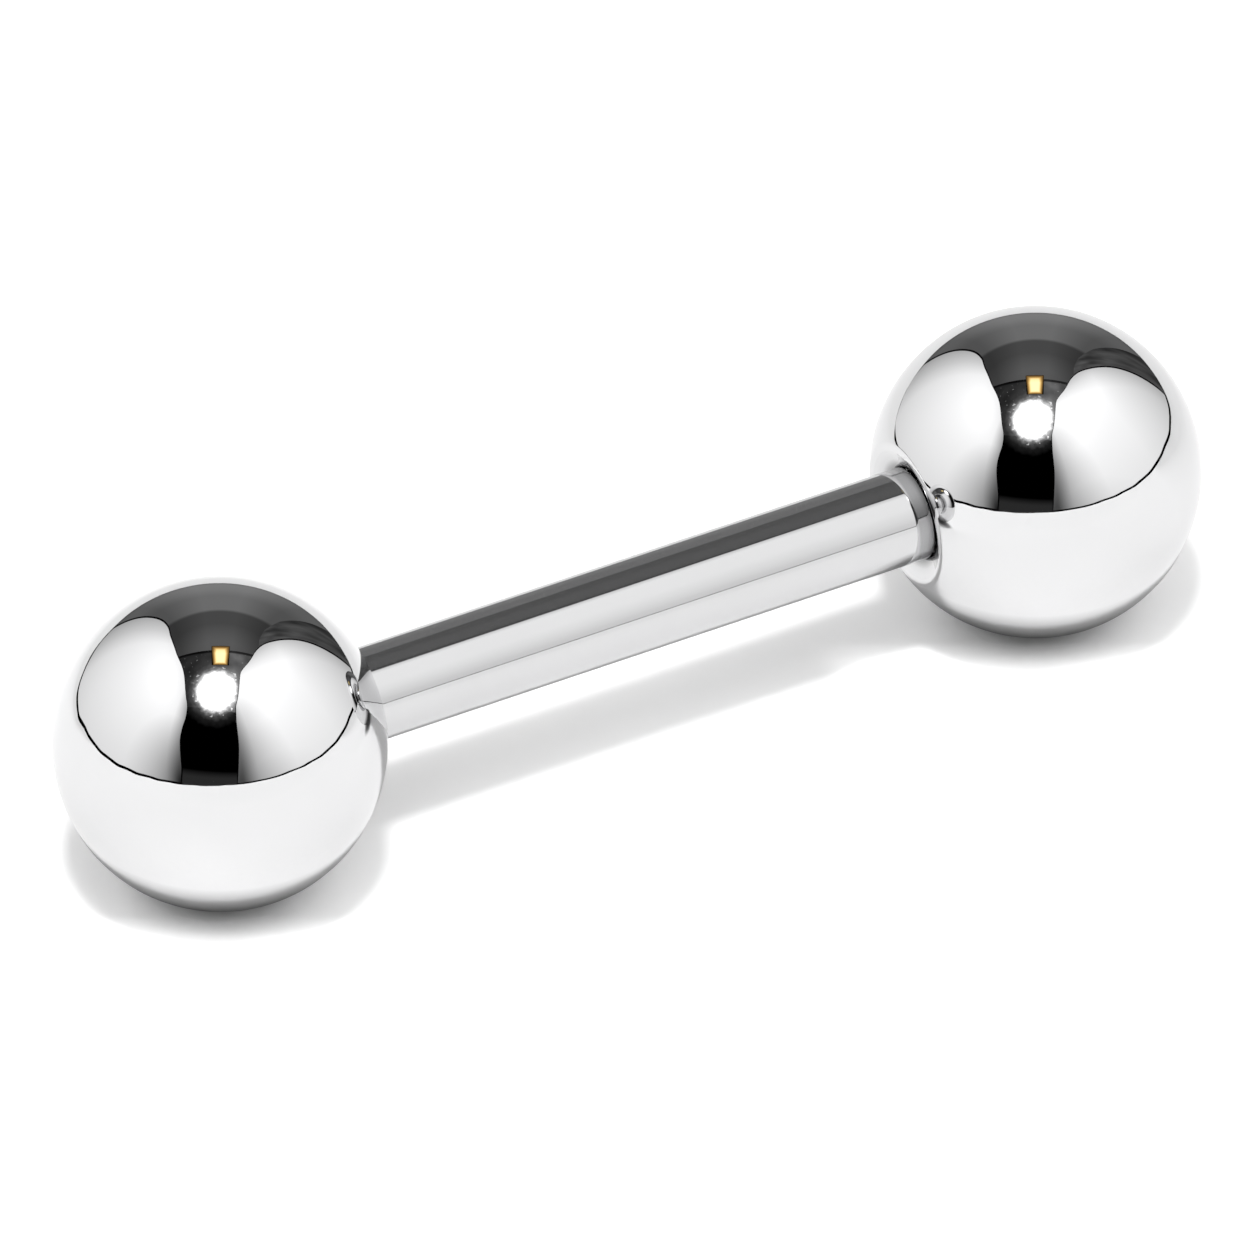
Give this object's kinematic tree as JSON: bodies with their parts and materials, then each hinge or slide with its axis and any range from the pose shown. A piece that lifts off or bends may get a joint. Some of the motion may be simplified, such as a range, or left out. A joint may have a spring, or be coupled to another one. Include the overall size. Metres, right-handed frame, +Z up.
{
  "type": "cartilage barbell",
  "caption": "Straight barbell for an ear cartilage piercing: a plain round steel shank with a mirror-polished ball screwed on at each end.",
  "frame": {"origin": "on the surface it rests on, under the middle of the bar", "axes": "+X along the bar, from the left ball towards the right ball; +Z up from the surface"},
  "size_m": [0.0156, 0.0042, 0.0041],
  "materials": {
    "polished_steel": "mirror-polished surgical stainless steel"
  },
  "bodies": {
    "bar": {"bar": "polished_steel"},
    "left_ball": {"left_ball": "polished_steel"},
    "right_ball": {"right_ball": "polished_steel"}
  },
  "joints": [
    {"name": "left_ball_off", "type": "slide", "parent": "bar", "child": "left_ball", "axis": [-1, 0, 0], "range_m": [0, 0.012]},
    {"name": "right_ball_off", "type": "slide", "parent": "bar", "child": "right_ball", "axis": [1, 0, 0], "range_m": [0, 0.012]}
  ]
}
